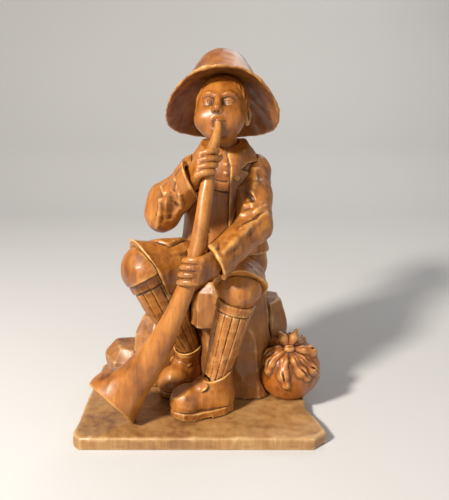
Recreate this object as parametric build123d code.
from build123d import *
import os
from math import cos, radians, sin

# A carved wooden incense smoker: a boy in a wide hat sits on a heap of rocks and blows a long horn.
# Jacket, arms, hands, head, hat and horn lift off the shorts as one, over a brass plate for an incense cone.
# Millimetres. +Z is up, the boy looks along -Y, and the origin is under the middle of the base.
# Left and right are the boy's own, so his right side lies towards -X.

# Base plate
BASE_LENGTH = 131.0
BASE_OFFSET = -1.5
BASE_DEPTH = 92.0
BASE_THICKNESS = 7.0
BASE_BEVEL = 0.9
FRONT_CORNER_CUT = 7.0
BACK_CORNER_CUT = 14.0

# Where the boy sits, and how high
FIGURE_X = 11.3
FIGURE_Y = 13.0
SEAT_HEIGHT = 66.0
HIP_HEIGHT = 18.0
LIFT_GAP = 0.3

# Shorts: hip sections as height above the seat, half width, half depth
HIP_SECTIONS = ((0.0, 22.0, 17.0), (8.0, 24.5, 18.5), (HIP_HEIGHT, 23.5, 17.5))
RIGHT_THIGH_RADIUS = 14.6
RIGHT_THIGH_FULLNESS = 3.5
LEFT_THIGH_RADIUS = 12.4
THIGH_ROOT_RADIUS = 10.5
RIGHT_HEM_TILT = 34.0
LEFT_HEM_TILT = 38.0

# Legs and stockings
RIGHT_KNEE_RADIUS = 14.0
LEFT_KNEE_RADIUS = 11.0
STOCKING_SHARE = 0.82
ANKLE_RADIUS = 6.6
BARE_KNEE_STEP = 1.2
STOCKING_BAND = 5.0
STOCKING_BAND_STEP = 0.9
RIGHT_BAND_TILT = 30.0
STOCKING_RIBS = 12
RIB_DEPTH = 0.8

# Boots
BOOT_LENGTH = 36.0
BOOT_WIDTH = 19.0
SOLE_THICKNESS = 4.5
TOE_HEIGHT = 12.0
HEEL_LENGTH = 10.0
SHANK_RECESS = 1.2

# Jacket: sections as height above its hem, half width, half depth
JACKET_SECTIONS = (
    (0.0, 26.0, 19.0),
    (7.0, 23.6, 17.6),
    (21.0, 22.0, 16.6),
    (35.0, 22.2, 16.4),
    (45.0, 20.4, 15.2),
    (52.0, 16.6, 12.8),
    (57.0, 12.4, 10.8),
    (61.0, 9.6, 9.2),
)
WAISTCOAT_STEP = 2.0
LAPEL_RAISE = 1.4
FRONT_MIDDLE = -3.8
COLLAR_DROP = 12.0
COLLAR_GAP = 2.4
COLLAR_SLOPE = 22.0

# Smoke chamber, the spigot that locates it and the plate under the cone
SPIGOT_RADIUS = 13.0
SPIGOT_HEIGHT = 4.0
CHAMBER_RADIUS = 10.5
CHAMBER_HEIGHT = 40.0
PLATE_RADIUS = 9.6
PLATE_SHEET = 0.6
PLATE_RIM = 1.8
PLATE_CLEARANCE = 0.3
PLATE_RECESS = 3.2
TACK_SPACING = 13.0
TACK_HEAD_RADIUS = 1.2
TACK_SHANK_RADIUS = 0.5
TACK_LENGTH = 5.0
SMOKE_BORE_RADIUS = 2.5
DRAUGHT_RADIUS = 1.2

# Sleeves and cuffs
SHOULDER_RADIUS = 9.8
ELBOW_RADIUS = 9.2
CUFF_RADIUS = 8.6
CUFF_RECESS = 2.2
CUFF_WALL = 1.5
RIGHT_CUFF_FACING = Vector(0.92, -0.1, 0.38)
LEFT_CUFF_FACING = Vector(-0.9, -0.15, -0.4)

# Hands
WRIST_RADIUS = 4.6
FINGER_RADIUS = 1.9
RIGHT_FINGER_PITCH = 3.5
LEFT_FINGER_PITCH = 3.6
FINGER_COUNT = 4

# Head and hat
NECK_RADIUS = 6.4
NECK_TENON = 8.0
HEAD_TILT = 18.0
HEAD_TURN = -9.0
HAT_TILT = 40.0
BRIM_RADIUS = 31.0
BRIM_EDGE = 1.5
CROWN_RADIUS = 19.5
CROWN_HEIGHT = 32.0
HAT_BAND_HEIGHT = 9.5

# Horn
HORN_TIP_RADIUS = 1.8
BELL_RADIUS = 15.3
BELL_WALL = 1.5
BELL_HOLLOW = 22.0
BELL_FACING = Vector(-0.63, -0.48, -0.61)

# Bundle
BUNDLE_RADIUS = 18.5
BUNDLE_SETTLE = 4.0
BUNDLE_INSET = 15.5
BUNDLE_LOBES = 8
LOBE_WIDTH = 5.0
LOBE_THICKNESS = 1.7
KNOT_RADIUS = 3.2

# Dowels and screws
DOWEL_RADIUS = 2.5
DOWEL_CLEARANCE = 0.05
SCREW_RADIUS = 2.0
SCREW_HEAD_RADIUS = 4.0
SCREW_LENGTH = 36.0

# Levels and anchor points
GROUND = BASE_THICKNESS
SEAT = GROUND + SEAT_HEIGHT
HEM = SEAT + HIP_HEIGHT
TORSO_HEIGHT = JACKET_SECTIONS[-1][0]
NECK = HEM + TORSO_HEIGHT
SPINE = Vector(FIGURE_X, FIGURE_Y, 0)
RIGHT_KNEE = SPINE + Vector(-39.9, -28.4, SEAT + 14.4)
LEFT_KNEE = SPINE + Vector(8.0, -33.0, SEAT + 5.6)
RIGHT_ANKLE = SPINE + Vector(-21.5, -4.0, GROUND + 27.0)
LEFT_ANKLE = SPINE + Vector(-4.0, -32.0, GROUND + 23.0)
RIGHT_SHOULDER = SPINE + Vector(-15.5, 0.0, HEM + 43.5)
RIGHT_ELBOW = SPINE + Vector(-33.5, -11.0, HEM + 22.0)
RIGHT_WRIST = SPINE + Vector(-16.0, -33.5, HEM + 44.5)
LEFT_SHOULDER = SPINE + Vector(15.5, 0.0, HEM + 43.5)
LEFT_ELBOW = SPINE + Vector(15.5, -28.0, HEM + 20.0)
LEFT_WRIST = SPINE + Vector(-4.6, -48.0, HEM + 5.5)
HEAD = SPINE + Vector(-1.5, -9.5, NECK + 14.5)
BRIM_CENTRE = SPINE + Vector(-1.0, 1.0, NECK + 18.0)
BELL = SPINE + Vector(-59.9, -42.8, GROUND + 10.0)
BASE_END = BASE_OFFSET + BASE_LENGTH / 2
BUNDLE = Vector(BASE_END - BUNDLE_INSET, FIGURE_Y - 9.0, GROUND + BUNDLE_RADIUS - BUNDLE_SETTLE)

# Horn stations from the mouthpiece down: point and radius
HORN_STATIONS = (
    (SPINE + Vector(-3.2, -26.0, HEM + 71.6), HORN_TIP_RADIUS),
    (SPINE + Vector(-5.2, -32.0, HEM + 61.0), 2.7),
    (SPINE + Vector(-7.4, -38.0, HEM + 50.0), 3.2),
    (SPINE + Vector(-9.5, -44.0, HEM + 34.0), 3.6),
    (SPINE + Vector(-12.2, -47.6, HEM + 18.0), 3.9),
    (SPINE + Vector(-15.2, -50.0, HEM + 3.6), 4.1),
    (SPINE + Vector(-19.2, -51.2, HEM - 7.2), 4.4),
    (SPINE + Vector(-24.5, -51.4, HEM - 20.2), 5.0),
    (BELL + Vector(29.2, -7.5, 40.7), 6.4),
    (BELL + Vector(20.4, -5.0, 25.8), 8.4),
    (BELL + Vector(10.0, -1.5, 12.6), 11.4),
    (BELL, BELL_RADIUS),
)
RIGHT_GRIP_STATION = 2
LEFT_GRIP_STATION = 5


# Shapes that the pieces share

def across(direction):
    """Sideways direction of a limb's section: level, and square to the limb."""
    side = Vector(0, 0, 1).cross(direction)
    return side if side.length > 0.1 else Vector(1, 0, 0)


def section_plane(centre, direction):
    return Plane(origin=centre, x_dir=across(direction), z_dir=direction)


def directions(points):
    """Direction of travel at each point of a path."""
    last = len(points) - 1
    return [
        (points[min(i + 1, last)] - points[max(i - 1, 0)]).normalized()
        for i in range(len(points))
    ]


def limb(stations):
    """Tapering limb through round sections. A station is a centre, a half width and, if oval, a half depth."""
    centres = [station[0] for station in stations]
    faces = []
    for station, direction in zip(stations, directions(centres)):
        half_width = station[1]
        half_depth = station[-1]
        faces.append(section_plane(station[0], direction) * Ellipse(half_width, half_depth))
    return loft(faces)


def rod(start, end, radius):
    """Straight round bar between two points."""
    plane = Plane(origin=start, z_dir=end - start)
    return extrude(plane * Circle(radius), (end - start).length)


def ball(centre, radius):
    return Pos(*centre) * Sphere(radius)


def ovoid(centre, half_x, half_y, half_z, turn=(0, 0, 0)):
    """Egg-shaped swelling with three half sizes, turned about its own centre."""
    return Pos(*centre) * Rot(*turn) * scale(Sphere(1), by=(half_x, half_y, half_z))


def oval_stack(sections, level, grow=0.0):
    """Upright form about the spine through oval sections, with all of them grown by one amount."""
    faces = [
        Plane(origin=SPINE + Vector(0, 0, level + height)) * Ellipse(half_width + grow, half_depth + grow)
        for height, half_width, half_depth in sections
    ]
    return loft(faces)


def facing_prism(outline):
    """Prism from front to back: the outline is seen from the front, as x from the spine and height over the hem."""
    points = [(SPINE.X + x, HEM + z) for x, z in outline]
    face = Plane.XZ * make_face(Polyline(*points, close=True))
    return extrude(face, BASE_DEPTH, both=True)


def stone(rings):
    """Rock with flat chiselled sides, through outlines about the spine at heights above the base."""
    faces = []
    for height, outline in rings:
        level = Plane(origin=SPINE + Vector(0, 0, GROUND + height))
        faces.append(level * make_face(Polyline(*outline, close=True)))
    return loft(faces, ruled=True)


def middle(a, b, share):
    return a + (b - a) * share


# Base and rocks

def base_plate():
    """Plank with bevelled top edges; its corners are cut off by hand."""
    left = BASE_END
    right = BASE_END - BASE_LENGTH
    y = BASE_DEPTH / 2
    cut = FRONT_CORNER_CUT
    outline = [
        (right + cut * 0.6, -y),
        (left - cut, -y),
        (left, -y + cut),
        (left - cut, -y + cut * 4.5),
        (left - cut, y - BACK_CORNER_CUT),
        (left - BACK_CORNER_CUT, y),
        (right + BACK_CORNER_CUT / 2, y),
        (right, y - BACK_CORNER_CUT / 2),
        (right, -y + cut * 0.6),
    ]
    plank = extrude(make_face(Polyline(*outline, close=True)), BASE_THICKNESS)
    return chamfer(plank.faces().sort_by(Axis.Z)[-1].edges(), BASE_BEVEL)


def seat_block():
    """The large rock that the boy sits on, with a knob between his legs, before his legs are cut out of it."""
    knob = stone([
        (SEAT_HEIGHT - 20, [(-19, -19), (-15, -26), (-2, -28), (3, -20), (2, -8), (-18, -8)]),
        (SEAT_HEIGHT, [(-18, -18), (-14, -25), (-3, -27), (2, -19), (1, -8), (-17, -8)]),
        (SEAT_HEIGHT + 5, [(-15, -16), (-12, -22), (-5, -23), (-1, -17), (-2, -8), (-14, -8)]),
    ])
    return knob + stone([
        (0, [(-35, 6), (-13, 0), (-8, -18), (20, -20), (32, -9), (32, 29), (-37, 29)]),
        (SEAT_HEIGHT * 0.55, [(-32, 6), (-16, -4), (-10, -18), (17, -19), (26, -8), (27, 28), (-34, 28)]),
        (SEAT_HEIGHT - 5, [(-25, -5), (-19, -17), (-15, -21), (7, -21), (23, -11), (24, 26), (-26, 26)]),
        (SEAT_HEIGHT, [(-21, -4), (-16, -13), (-13, -16), (5, -16), (19, -8), (20, 23), (-22, 23)]),
    ])


def high_stone_block():
    """Stone behind the right shin."""
    return stone([
        (0, [(-55, 1), (-42, -5), (-26, -1), (-26, 29), (-44, 30), (-56, 23)]),
        (30, [(-53, 4), (-43, -2), (-27, 1), (-27, 28), (-43, 29), (-53, 23)]),
        (40, [(-48, 9), (-41, 4), (-30, 5), (-30, 24), (-41, 25), (-48, 21)]),
    ])


def low_stone_block():
    """Flat stone at the right rear corner of the base."""
    return stone([
        (0, [(-73, 13), (-64, -1), (-50, -3), (-46, 27), (-66, 30), (-73, 27)]),
        (13, [(-74, 15), (-66, 1), (-51, -1), (-46, 27), (-67, 29), (-74, 27)]),
        (20, [(-67, 17), (-63, 7), (-52, 4), (-48, 24), (-64, 25), (-67, 23)]),
    ])


def side_stone_block():
    """Tall stone beside the left hip."""
    return stone([
        (0, [(14, -1), (30, -5), (38, 7), (37, 27), (28, 30), (14, 29)]),
        (38, [(14, -2), (28, -5), (37, 5), (36, 25), (28, 28), (14, 28)]),
        (51, [(15, 3), (27, 0), (33, 7), (32, 21), (27, 23), (15, 23)]),
    ])


# Bundle

def bundle_body():
    """Round sack of cloth, flat where it stands on the base."""
    sack = ball(BUNDLE, BUNDLE_RADIUS)
    above_base = Pos(BUNDLE.X, BUNDLE.Y, GROUND) * Box(
        BUNDLE_RADIUS * 3, BUNDLE_RADIUS * 3, BUNDLE_RADIUS * 3, align=(Align.CENTER, Align.CENTER, Align.MIN)
    )
    return sack & above_base


def bundle_ties():
    """Knot at the top front of the bundle, with the cloth's gathered lobes lying round it."""
    knot_plane = Plane(origin=BUNDLE, x_dir=(1, 0, 0), z_dir=(-0.05, -0.5, 0.86))
    knot = knot_plane.from_local_coords(Vector(0, 0, BUNDLE_RADIUS))
    lobes = [ovoid(knot, KNOT_RADIUS, KNOT_RADIUS * 0.8, KNOT_RADIUS * 0.8)]
    spread = (6, 26, 50, 72)
    widths = (KNOT_RADIUS * 0.5, LOBE_WIDTH * 0.8, LOBE_WIDTH, LOBE_WIDTH * 0.35)
    for i in range(BUNDLE_LOBES):
        turn = radians(360 / BUNDLE_LOBES * (i + 0.5))
        stations = []
        for angle, width in zip(spread, widths):
            reach = BUNDLE_RADIUS * sin(radians(angle))
            rise = BUNDLE_RADIUS * cos(radians(angle))
            local = Vector(reach * cos(turn), reach * sin(turn), rise)
            stations.append((knot_plane.from_local_coords(local), local, width))
        lobes.append(lobe(knot_plane, stations, turn))
    ties = lobes[0]
    for piece in lobes[1:]:
        ties += piece
    return ties


def lobe(knot_plane, stations, turn):
    """One gathered fold of cloth: a leaf that follows the sack from the knot outwards."""
    side = knot_plane.from_local_coords(Vector(-sin(turn), cos(turn), 0)) - knot_plane.origin
    centres = [station[0] for station in stations]
    faces = []
    for (centre, _, width), travel in zip(stations, directions(centres)):
        plane = Plane(origin=centre, x_dir=side, z_dir=travel)
        faces.append(plane * Ellipse(width, min(LOBE_THICKNESS, width * 0.8)))
    return loft(faces)


# Lower half of the boy

def thigh(knee, root, radius, widen, tilt, fullness, grow=0.0):
    """One leg of the shorts, full of cloth on top. Its hem slants over the knee and leaves the front bare."""
    along = (knee - root).normalized()
    down = Vector(0, 0, -1)
    slant = along * cos(radians(tilt)) + down * sin(radians(tilt))
    hem_half = radius / cos(radians(tilt))
    hem = Plane(origin=knee, x_dir=across(along), z_dir=slant)
    return loft([
        section_plane(root, along) * Circle(THIGH_ROOT_RADIUS + grow),
        section_plane(middle(root, knee, 0.5) + Vector(0, 0, fullness / 2), along)
        * Ellipse(radius * widen * 0.97 + grow, radius * 0.95 + fullness / 2 + grow),
        hem * Ellipse(radius * widen + grow, hem_half + grow),
    ])


RIGHT_THIGH_ROOT = SPINE + Vector(-9.0, -9.0, SEAT + 7.5)
LEFT_THIGH_ROOT = SPINE + Vector(10.0, -6.0, SEAT + 7.0)


def right_thigh(grow=0.0):
    fullness = RIGHT_THIGH_FULLNESS
    return thigh(RIGHT_KNEE, RIGHT_THIGH_ROOT, RIGHT_THIGH_RADIUS, 1.0, RIGHT_HEM_TILT, fullness, grow)


def left_thigh(grow=0.0):
    return thigh(LEFT_KNEE, LEFT_THIGH_ROOT, LEFT_THIGH_RADIUS, 1.12, LEFT_HEM_TILT, 0.0, grow)


def spigot():
    """Round boss on the shorts that the upper half drops over, with the recess for the plate."""
    centre = SPINE + Vector(0, 0, HEM)
    boss = rod(centre - Vector(0, 0, 1), centre + Vector(0, 0, SPIGOT_HEIGHT), SPIGOT_RADIUS)
    return boss


def plate_floor():
    return SPINE + Vector(0, 0, HEM + SPIGOT_HEIGHT - PLATE_RECESS)


def draught(grow=0.0):
    """Air way in at the back of the hem, level with the plate."""
    start = plate_floor() + Vector(0, 0, PLATE_RECESS / 2)
    return rod(start, start + Vector(0, BASE_DEPTH / 2, 0), DRAUGHT_RADIUS + grow)


def shorts_block():
    """Hips and both legs of the shorts, with the spigot on top."""
    hips = oval_stack(HIP_SECTIONS, SEAT)
    ceiling = Pos(SPINE.X, SPINE.Y, HEM) * Cylinder(
        SPIGOT_RADIUS + 3, HIP_HEIGHT, align=(Align.CENTER, Align.CENTER, Align.MIN)
    )
    legs = right_thigh() + left_thigh() - ceiling
    recess = rod(plate_floor(), plate_floor() + Vector(0, 0, HIP_HEIGHT), PLATE_RADIUS + PLATE_CLEARANCE)
    return hips + legs + spigot() - recess - draught()


def ribbed_face(centre, direction, radius):
    """Section of a knitted stocking: round ribs with a groove between each two."""
    plane = section_plane(centre, direction)
    step = 360 / STOCKING_RIBS

    def rim(angle, r):
        return plane.from_local_coords(Vector(r * cos(radians(angle)), r * sin(radians(angle)), 0))

    arcs = [
        ThreePointArc(
            rim(i * step, radius - RIB_DEPTH), rim((i + 0.5) * step, radius), rim((i + 1) * step, radius - RIB_DEPTH)
        )
        for i in range(STOCKING_RIBS)
    ]
    return Face(Wire(arcs))


def leg(knee, knee_radius, ankle, root, thigh_radius, band_tilt):
    """Bare knee coming out of the hem, turned-down stocking band and ribbed stocking, down to the ankle."""
    direction = (ankle - knee).normalized()
    top = knee + direction * (knee_radius * 0.62)
    top_radius = knee_radius * STOCKING_SHARE
    stocking = loft([
        ribbed_face(top + direction * 2, direction, top_radius),
        ribbed_face(middle(top, ankle, 0.3), direction, top_radius * 0.99),
        ribbed_face(middle(top, ankle, 0.65), direction, (top_radius + ANKLE_RADIUS) * 0.51),
        ribbed_face(ankle, direction, ANKLE_RADIUS),
    ])
    band_radius = top_radius + STOCKING_BAND_STEP
    side = across(direction).normalized()
    slant = direction.rotate(Axis((0, 0, 0), side), band_tilt)
    band = loft([
        Plane(origin=top + direction * STOCKING_BAND * share, x_dir=side, z_dir=slant) * Circle(band_radius * swell)
        for share, swell in ((0, 0.96), (0.5, 1.0), (1, 0.97))
    ])
    stub = rod(middle(root, knee, 0.5), knee, thigh_radius - BARE_KNEE_STEP)
    return ball(knee, knee_radius) + stub + band + stocking


def boot(ankle, heel, toe_angle):
    """Ankle boot with a thick sole. Heel is the middle of its heel on the base; the toe angle is from +X."""
    length = BOOT_LENGTH
    width = BOOT_WIDTH / 2
    place = Pos(heel.X, heel.Y, GROUND) * Rot(0, 0, toe_angle)
    outline = make_face(
        Spline(
            (-width * 0.75, 0), (0, -width * 0.82), (length * 0.45, -width * 0.95), (length - width * 0.8, 0),
            (length * 0.5, width * 1.02), (0, width * 0.82), periodic=True,
        )
    )
    sole = extrude(outline, SOLE_THICKNESS)
    arch = Pos(HEEL_LENGTH * 0.75, 0, 0) * Box(
        HEEL_LENGTH * 0.6, BOOT_WIDTH * 2, SHANK_RECESS * 2, align=(Align.MIN, Align.CENTER, Align.CENTER)
    )
    toe = (length * 0.53, 0, SOLE_THICKNESS + TOE_HEIGHT * 0.25)
    toe_cap = ovoid(toe, length * 0.25, width * 0.95, TOE_HEIGHT * 0.75)
    instep = ovoid((length * 0.24, 0, SOLE_THICKNESS + 4), length * 0.32, width * 0.86, TOE_HEIGHT, (0, 14, 0))
    heel_cup = ovoid((0.5, 0, SOLE_THICKNESS + 4), width * 0.82, width * 0.8, TOE_HEIGHT)
    upper = toe_cap + instep + heel_cup
    above_sole = Pos(0, 0, SOLE_THICKNESS * 0.9) * Box(
        length * 3, length * 3, length * 3, align=(Align.CENTER, Align.CENTER, Align.MIN)
    )
    shoe = place * (sole - arch + (upper & above_sole))
    collar_bottom = Vector(heel.X, heel.Y, GROUND + SOLE_THICKNESS + 4)
    collar_top = middle(collar_bottom, ankle, 1.0)
    collar = limb([
        (collar_bottom, width * 0.8),
        (middle(collar_bottom, collar_top, 0.55), ANKLE_RADIUS + 1.2),
        (collar_top, ANKLE_RADIUS + 1.9),
    ])
    return shoe + collar


RIGHT_HEEL = SPINE + Vector(-20.3, 5.0, 0)
LEFT_HEEL = SPINE + Vector(-2.0, -29.2, 0)
RIGHT_TOE_ANGLE = -118.0
LEFT_TOE_ANGLE = -163.0


# Upper half of the boy

# Outlines of the jacket's front, as x from its middle and height over the hem
WAISTCOAT_OUTLINE = ((-7.0, 60), (7.0, 60), (6.6, 32), (5.8, 12), (6.8, -2), (-6.8, -2), (-5.8, 12), (-6.6, 32))
LAPEL_OUTLINE = ((7.4, 54), (13.3, 52), (18.0, 46.5), (14.4, 44), (17.2, 42.2), (5.8, 13), (6.4, 32))


def mirrored(outline):
    return [(-x, z) for x, z in reversed(outline)]


def on_front(outline):
    """Outline moved from the spine to the jacket's front middle."""
    return [(FRONT_MIDDLE + x, z) for x, z in outline]


def jacket_outside():
    """Jacket over a waistcoat: the front is cut open over it, and lapels and collar stand proud."""
    coat = oval_stack(JACKET_SECTIONS, HEM)
    waistcoat = oval_stack(JACKET_SECTIONS, HEM, -WAISTCOAT_STEP)
    front = facing_prism(on_front(WAISTCOAT_OUTLINE)) & front_half()
    proud = oval_stack(JACKET_SECTIONS, HEM, LAPEL_RAISE) & front_half()
    lapels = proud & (facing_prism(on_front(LAPEL_OUTLINE)) + facing_prism(on_front(mirrored(LAPEL_OUTLINE))))
    return coat - front + waistcoat + lapels + collar() - above_collar()


def front_half():
    """Everything in front of the spine."""
    size = BASE_LENGTH * 2
    return Pos(SPINE.X, SPINE.Y - size / 2, HEM) * Box(size, size, size)


def collar():
    """Turned-down collar laid round the neck, open at the throat."""
    laid = oval_stack(JACKET_SECTIONS, HEM, LAPEL_RAISE)
    top = TORSO_HEIGHT + 1
    foot = TORSO_HEIGHT - COLLAR_DROP
    spread = facing_prism(((-19, foot + 1), (FRONT_MIDDLE, foot - 1), (19, foot + 1), (14, top), (-14, top)))
    throat = facing_prism(on_front(((-3.0, top), (3.0, top), (7.5, foot - 2), (-7.5, foot - 2))))
    return (laid & spread) - (throat & front_half())


def above_collar():
    """Everything over the collar's edge, which is high behind the neck and low at the throat."""
    size = BASE_LENGTH
    lid = Box(size, size, size, align=(Align.CENTER, Align.CENTER, Align.MIN))
    return Pos(*SPINE) * Pos(0, 0, NECK - 1) * Rot(COLLAR_SLOPE, 0, 0) * lid


def neck_gap():
    """Open ring between the collar and the neck."""
    top = SPINE + Vector(0, 0, NECK)
    return loft([
        Plane(origin=top - Vector(0, 0, 5)) * Circle(NECK_RADIUS + 0.1),
        Plane(origin=top + Vector(0, 0, 0.1)) * Circle(NECK_RADIUS + COLLAR_GAP),
    ])


def chamber():
    """Hollow for the burning cone: a socket over the spigot, the chamber and its tapered roof."""
    foot = SPINE + Vector(0, 0, HEM)
    socket_top = foot + Vector(0, 0, SPIGOT_HEIGHT + LIFT_GAP)
    roof = foot + Vector(0, 0, CHAMBER_HEIGHT)
    neck = SPINE + Vector(0, 0, NECK - NECK_TENON)
    socket = rod(foot - Vector(0, 0, 1), socket_top, SPIGOT_RADIUS + LIFT_GAP)
    funnel = loft([
        Plane(origin=roof - Vector(0, 0, 0.01)) * Circle(CHAMBER_RADIUS),
        Plane(origin=neck) * Circle(SMOKE_BORE_RADIUS),
    ])
    return socket + rod(socket_top - Vector(0, 0, 1), roof, CHAMBER_RADIUS) + funnel


def neck_hole():
    seat = SPINE + Vector(0, 0, NECK - NECK_TENON)
    return rod(seat, seat + Vector(0, 0, NECK_TENON * 3), NECK_RADIUS)


def jacket():
    clear_of_legs = right_thigh(LIFT_GAP) + left_thigh(LIFT_GAP)
    return jacket_outside() - chamber() - neck_hole() - neck_gap() - clear_of_legs - draught(LIFT_GAP)


def sleeve_block(shoulder, elbow, wrist, facing):
    """Wide sleeve bent at the elbow. It is cut off on the slant at the wrist and stands open there."""
    along = (wrist - elbow).normalized()
    end = wrist + along * CUFF_RADIUS * 1.4
    upper_arm = limb([
        (shoulder, SHOULDER_RADIUS),
        (middle(shoulder, elbow, 0.5), SHOULDER_RADIUS * 0.95),
        (elbow, ELBOW_RADIUS),
    ])
    forearm = limb([
        (elbow, ELBOW_RADIUS),
        (middle(elbow, wrist, 0.55), ELBOW_RADIUS * 0.87),
        (wrist, CUFF_RADIUS),
        (end, CUFF_RADIUS * 1.05),
    ])
    bore = rod(wrist - along * CUFF_RADIUS * 2, end, CUFF_RADIUS - CUFF_WALL)
    opening = bore & beyond(wrist - facing * CUFF_RECESS, facing)
    whole = upper_arm + ball(shoulder, SHOULDER_RADIUS) + ball(elbow, ELBOW_RADIUS) + forearm
    return whole - opening - beyond(wrist, facing)


def beyond(point, facing):
    """Everything past a flat saw cut through a point."""
    size = BASE_LENGTH
    block = Box(size, size, size, align=(Align.CENTER, Align.CENTER, Align.MIN))
    return Plane(origin=point, z_dir=facing).location * block


def grip(station):
    """Point, direction and radius of the horn where a hand holds it."""
    points = [point for point, _ in HORN_STATIONS]
    return points[station], directions(points)[station], HORN_STATIONS[station][1]


def hand(station, wrist, elbow, pitch, turn):
    """Hand closed round the horn: palm from the wrist, four fingers round the front and a thumb behind.

    Turn is 1 for the left hand and -1 for the right, so that both sets of fingers pass in front of the horn.
    """
    point, direction, horn_radius = grip(station)
    wrist_in = wrist - (wrist - elbow).normalized() * CUFF_RADIUS
    knuckle_radius = horn_radius + FINGER_RADIUS * 0.72
    away = wrist - point
    root = (away - direction * away.dot(direction)).normalized()
    side = direction.cross(root) * turn
    fingers = []
    for i in range(FINGER_COUNT):
        centre = point + direction * ((i - (FINGER_COUNT - 1) / 2) * pitch)
        fingers.append(finger(centre, direction * turn, root, side, knuckle_radius))
    half_grip = pitch * FINGER_COUNT / 2
    knuckles = point + root * (knuckle_radius + 0.6) + side * 0.5
    palm = palm_form(wrist_in, wrist, knuckles, direction, half_grip)
    thumb_tip = point - side * (horn_radius + 1.0) - direction * half_grip * 0.7 - root * horn_radius * 0.4
    thumb = limb([
        (middle(wrist, knuckles, 0.35), FINGER_RADIUS * 1.3),
        (middle(wrist, thumb_tip, 0.7) - side * 1.2 - direction * 1.5, FINGER_RADIUS * 1.25),
        (thumb_tip, FINGER_RADIUS),
    ])
    form = palm + thumb + ball(thumb_tip, FINGER_RADIUS)
    for piece in fingers:
        form += piece
    return form


def finger(centre, axis, root, side, knuckle_radius):
    """One finger bent round the horn, from the knuckle to a round tip."""
    start = root * cos(radians(-20)) + side * sin(radians(-20))
    plane = Plane(origin=centre + start * knuckle_radius, x_dir=start, z_dir=axis.cross(start))
    bend = revolve(plane * Circle(FINGER_RADIUS), axis=Axis(centre, axis), revolution_arc=185)
    end = root * cos(radians(165)) + side * sin(radians(165))
    return bend + ball(centre + end * knuckle_radius, FINGER_RADIUS)


def palm_form(wrist_in, wrist, knuckles, direction, half_grip):
    """Back of the hand: round at the wrist, flat and as tall as the four knuckles at the fingers."""
    travel = (knuckles - wrist).normalized()
    tall = (direction - travel * direction.dot(travel)).normalized()
    faces = []
    for centre, half_tall, half_thick in (
        (wrist_in, WRIST_RADIUS, WRIST_RADIUS),
        (wrist, WRIST_RADIUS * 1.02, WRIST_RADIUS * 0.98),
        (middle(wrist, knuckles, 0.6), half_grip * 0.92, 3.9),
        (knuckles + travel * 0.5, half_grip * 0.96, 2.9),
    ):
        faces.append(Plane(origin=centre, x_dir=tall, z_dir=travel) * Ellipse(half_tall, half_thick))
    return loft(faces)


def head_place():
    return Pos(*HEAD) * Rot(0, 0, HEAD_TURN) * Rot(-HEAD_TILT, 0, 0)


def head_form():
    """Child's head with full cheeks, raised brows and lips closed round the mouthpiece. It faces -Y."""
    skull = ovoid((0, 2.5, 4.5), 13.4, 14.6, 14.6)
    face = ovoid((0, -3.2, -4.0), 12.4, 11.2, 12.6)
    form = skull + face
    for side in (-1, 1):
        form += ovoid((side * 6.8, -7.6, -5.6), 6.4, 6.0, 6.2)
        form += ovoid((side * 13.4, 1.5, -1.5), 1.7, 3.8, 5.8, (0, 0, side * -18))
        form -= ovoid((side * 5.3, -13.6, 2.2), 3.2, 2.2, 2.3)
        form += ball((side * 5.2, -10.9, 2.1), 2.5)
    form += ovoid((0, -9.2, -12.4), 5.2, 4.6, 4.2)
    form += limb([(Vector(0, -11.4, 4.6), 1.3), (Vector(0, -13.6, 1.2), 1.5), (Vector(0, -15.4, -2.0), 2.3)])
    form += ball((0, -15.2, -2.2), 2.3)
    form += ovoid((0, -13.2, -8.2), 3.6, 2.8, 2.6)
    return head_place() * form


def mouth():
    """Middle of the lips, where the horn's tip sits."""
    return HORN_STATIONS[0][0]


def head():
    """Head on its neck, with a tenon for the jacket and the smoke way from the neck to the mouth."""
    tenon_foot = SPINE + Vector(0, 0, NECK - NECK_TENON)
    neck_top = middle(SPINE + Vector(0, 0, NECK), HEAD, 0.75)
    neck = limb([
        (tenon_foot, NECK_RADIUS - DOWEL_CLEARANCE),
        (SPINE + Vector(0, 0, NECK), NECK_RADIUS - DOWEL_CLEARANCE),
        (neck_top, NECK_RADIUS + 0.8),
    ])
    bend = middle(SPINE + Vector(0, 0, NECK), mouth(), 0.55) + Vector(0, 6, 1)
    smoke = rod(tenon_foot - Vector(0, 0, 1), bend, SMOKE_BORE_RADIUS) + ball(bend, SMOKE_BORE_RADIUS)
    smoke += rod(bend, middle(bend, mouth(), 1.3), SMOKE_BORE_RADIUS)
    return head_form() + neck - smoke


def hat_form():
    """Felt hat pushed back on the head: a round crown and a wide sloping brim."""
    outside = Spline(
        (BRIM_RADIUS, 0), (BRIM_RADIUS * 0.76, 6.5), (CROWN_RADIUS, 14), (CROWN_RADIUS * 0.62, 28), (0, CROWN_HEIGHT)
    )
    edge = Line((BRIM_RADIUS - BRIM_EDGE, -BRIM_EDGE * 0.6), (BRIM_RADIUS, 0))
    underside = Spline((0, HAT_BAND_HEIGHT), (CROWN_RADIUS * 0.72, HAT_BAND_HEIGHT - 1.5), (BRIM_RADIUS - BRIM_EDGE, -BRIM_EDGE * 0.6))
    axis_line = Line((0, CROWN_HEIGHT), (0, HAT_BAND_HEIGHT))
    profile = make_face([outside, axis_line, underside, edge])
    crown = revolve(Plane.XZ * profile, axis=Axis.Z)
    return Pos(*BRIM_CENTRE) * Rot(-HAT_TILT, 0, 0) * crown


def horn_form():
    """Long curved horn, slim at the mouth and flared at the bell, whose end is sawn off on the slant."""
    return limb(HORN_STATIONS) - beyond(BELL, BELL_FACING)


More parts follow.
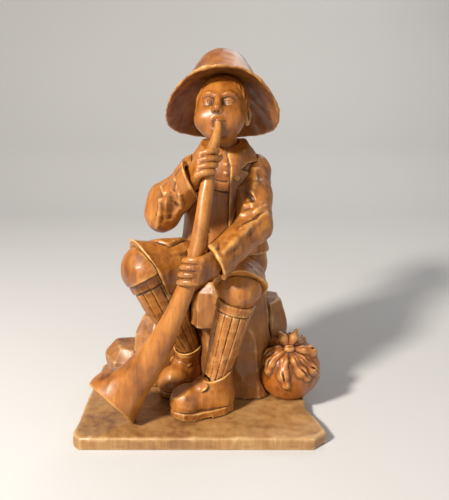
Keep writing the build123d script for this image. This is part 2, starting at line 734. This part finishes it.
def bell_hollow():
    """Hollow of the bell."""
    points = [point for point, _ in HORN_STATIONS]
    inward = (points[-2] - points[-1]).normalized()
    return limb([
        (BELL - inward, BELL_RADIUS - BELL_WALL),
        (BELL + inward * BELL_HOLLOW * 0.4, (BELL_RADIUS - BELL_WALL) * 0.78),
        (BELL + inward * BELL_HOLLOW, (BELL_RADIUS - BELL_WALL) * 0.26),
    ])


# Metal fittings, dowels and screws

def incense_plate():
    """Round brass dish with a turned-up rim, drilled for its two tacks."""
    floor = plate_floor()
    dish = rod(floor, floor + Vector(0, 0, PLATE_RIM), PLATE_RADIUS)
    well = rod(floor + Vector(0, 0, PLATE_SHEET), floor + Vector(0, 0, PLATE_RIM * 2), PLATE_RADIUS - PLATE_SHEET)
    return dish - well - tack_holes()


def tack_places():
    return [plate_floor() + Vector(side * TACK_SPACING / 2, 0, 0) for side in (-1, 1)]


def tack_holes():
    """Holes for the tacks, through the plate and into the wood."""
    radius = TACK_SHANK_RADIUS + DOWEL_CLEARANCE
    holes = [
        rod(place - Vector(0, 0, TACK_LENGTH), place + Vector(0, 0, PLATE_SHEET * 2), radius) for place in tack_places()
    ]
    return holes[0] + holes[1]


def plate_tacks():
    tacks = []
    for place in tack_places():
        under_head = place + Vector(0, 0, PLATE_SHEET)
        shank = rod(place - Vector(0, 0, TACK_LENGTH - DOWEL_CLEARANCE), under_head, TACK_SHANK_RADIUS)
        dome = ovoid(under_head, TACK_HEAD_RADIUS, TACK_HEAD_RADIUS, TACK_HEAD_RADIUS * 0.6)
        lower = Pos(*under_head) * Box(9, 9, 9, align=(Align.CENTER, Align.CENTER, Align.MAX))
        tacks.append(shank + (dome - lower))
    return tacks


def pegs(ends, radius):
    """Round dowels between pairs of points."""
    return [rod(start, end, radius) for start, end in ends]


def drilled(block, ends, radius):
    """Block with holes for the dowels between pairs of points."""
    for start, end in ends:
        reach = (end - start).normalized() * DOWEL_CLEARANCE
        block -= rod(start - reach, end + reach, radius + DOWEL_CLEARANCE)
    return block


def seat_dowel_ends():
    rise = Vector(0, 0, 9)
    places = [SPINE + Vector(side * 8.0, 5.0, SEAT) for side in (-1, 1)]
    return [(place - rise, place + rise) for place in places]


def leg_dowel_ends():
    ends = []
    for knee, root in (
        (RIGHT_KNEE, RIGHT_THIGH_ROOT),
        (LEFT_KNEE, LEFT_THIGH_ROOT),
    ):
        into = (root - knee).normalized()
        ends.append((knee + into * 2, knee + into * 22))
    return ends


def boot_dowel_ends():
    ends = []
    for knee, ankle in ((RIGHT_KNEE, RIGHT_ANKLE), (LEFT_KNEE, LEFT_ANKLE)):
        down = (ankle - knee).normalized()
        ends.append((ankle - down * 8, ankle + down * 8))
    return ends


def shoulder_dowel_ends():
    ends = []
    for shoulder in (RIGHT_SHOULDER, LEFT_SHOULDER):
        outward = Vector(shoulder.X - SPINE.X, 0, 0).normalized()
        ends.append((shoulder - outward * 4, shoulder + outward * 7))
    return ends


def bundle_dowel_ends():
    foot = Vector(BUNDLE.X, BUNDLE.Y, GROUND)
    return [(foot - Vector(0, 0, 4), foot + Vector(0, 0, 9))]


def screw_places():
    return [SPINE + Vector(side * 11.0, 13.0, 0) for side in (-1, 1)]


def screw(place, grow=0.0):
    """Countersunk wood screw, driven up through the base into the seat rock."""
    head_height = SCREW_HEAD_RADIUS - SCREW_RADIUS
    head_cone = loft([
        Plane(origin=place + Vector(0, 0, 0.4)) * Circle(SCREW_HEAD_RADIUS + grow),
        Plane(origin=place + Vector(0, 0, 0.4 + head_height)) * Circle(SCREW_RADIUS + grow),
    ])
    tip = place + Vector(0, 0, SCREW_LENGTH)
    shank = rod(place + Vector(0, 0, 0.4), tip, SCREW_RADIUS + grow)
    return head_cone + shank


def screw_slot(place):
    return Pos(place.X, place.Y, 0) * Box(SCREW_HEAD_RADIUS * 3, 0.9, 2.4)


# Pieces in place: each is cut where its neighbours seat

def lower_half():
    """Base, rocks, bundle, shorts, legs, boots and the plate."""
    shorts = shorts_block()
    tilt = RIGHT_BAND_TILT
    right_leg = leg(RIGHT_KNEE, RIGHT_KNEE_RADIUS, RIGHT_ANKLE, RIGHT_THIGH_ROOT, RIGHT_THIGH_RADIUS, tilt)
    left_leg = leg(LEFT_KNEE, LEFT_KNEE_RADIUS, LEFT_ANKLE, LEFT_THIGH_ROOT, LEFT_THIGH_RADIUS, 0.0)
    right_boot = boot(RIGHT_ANKLE, RIGHT_HEEL, RIGHT_TOE_ANGLE)
    left_boot = boot(LEFT_ANKLE, LEFT_HEEL, LEFT_TOE_ANGLE)
    sack = bundle_body()
    base = base_plate()
    seat = seat_block() - shorts - right_leg - left_leg - right_boot - left_boot - sack
    seat = drilled(seat, boot_dowel_ends(), DOWEL_RADIUS)
    high_stone = high_stone_block() - seat_block() - right_leg - right_boot
    low_stone = low_stone_block() - high_stone_block()
    side_stone = side_stone_block() - seat_block() - shorts - sack
    for place in screw_places():
        hole = screw(place, DOWEL_CLEARANCE)
        base = base - hole - Pos(place.X, place.Y, 0) * Cylinder(SCREW_HEAD_RADIUS + DOWEL_CLEARANCE, 0.8)
        seat -= hole
    shorts = drilled(shorts - tack_holes(), seat_dowel_ends() + leg_dowel_ends(), DOWEL_RADIUS)
    return {
        "base_plate": drilled(base, bundle_dowel_ends(), DOWEL_RADIUS),
        "seat_rock": drilled(seat, seat_dowel_ends(), DOWEL_RADIUS),
        "right_high_stone": high_stone,
        "right_low_stone": low_stone,
        "left_side_stone": side_stone,
        "bundle": drilled(sack, bundle_dowel_ends(), DOWEL_RADIUS),
        "bundle_knot": bundle_ties() - sack - side_stone_block() - seat_block(),
        "shorts": shorts,
        "right_leg": drilled(right_leg - shorts_block(), leg_dowel_ends()[:1] + boot_dowel_ends()[:1], DOWEL_RADIUS),
        "left_leg": drilled(left_leg - shorts_block(), leg_dowel_ends()[1:] + boot_dowel_ends()[1:], DOWEL_RADIUS),
        "right_boot": drilled(right_boot - right_leg, boot_dowel_ends()[:1], DOWEL_RADIUS),
        "left_boot": drilled(left_boot - left_leg, boot_dowel_ends()[1:], DOWEL_RADIUS),
        "incense_plate": incense_plate(),
        "plate_tacks": plate_tacks(),
        "seat_dowels": pegs(seat_dowel_ends(), DOWEL_RADIUS),
        "leg_dowels": pegs(leg_dowel_ends(), DOWEL_RADIUS),
        "boot_dowels": pegs(boot_dowel_ends(), DOWEL_RADIUS),
        "bundle_dowel": pegs(bundle_dowel_ends(), DOWEL_RADIUS),
        "base_screws": [screw(place) - screw_slot(place) for place in screw_places()],
    }


def upper_half():
    """Jacket, sleeves, hands, head, hat and horn, which lift off together."""
    coat = jacket()
    horn = horn_form()
    right_hand = hand(RIGHT_GRIP_STATION, RIGHT_WRIST, RIGHT_ELBOW, RIGHT_FINGER_PITCH, -1)
    left_hand = hand(LEFT_GRIP_STATION, LEFT_WRIST, LEFT_ELBOW, LEFT_FINGER_PITCH, 1)
    right_sleeve = sleeve_block(RIGHT_SHOULDER, RIGHT_ELBOW, RIGHT_WRIST, RIGHT_CUFF_FACING)
    left_sleeve = sleeve_block(LEFT_SHOULDER, LEFT_ELBOW, LEFT_WRIST, LEFT_CUFF_FACING)
    right_sleeve = right_sleeve - jacket_outside() - right_hand
    left_sleeve = left_sleeve - jacket_outside() - left_hand
    skull = head()
    ends = shoulder_dowel_ends()
    return {
        "jacket": drilled(coat, ends, DOWEL_RADIUS),
        "right_sleeve": drilled(right_sleeve, ends[:1], DOWEL_RADIUS),
        "left_sleeve": drilled(left_sleeve, ends[1:], DOWEL_RADIUS),
        "right_hand": right_hand - horn,
        "left_hand": left_hand - horn,
        "head": skull - jacket_outside() - horn,
        "hat": hat_form() - skull,
        "horn": horn - bell_hollow(),
        "shoulder_dowels": pegs(ends, DOWEL_RADIUS),
    }


def main():
    os.makedirs("parts", exist_ok=True)
    pieces = {**lower_half(), **upper_half()}
    for name, piece in pieces.items():
        solids = piece if isinstance(piece, list) else piece.solids()
        shape = Compound(list(solids)) if len(solids) > 1 else solids[0]
        export_step(shape, f"parts/{name}.step")


main()
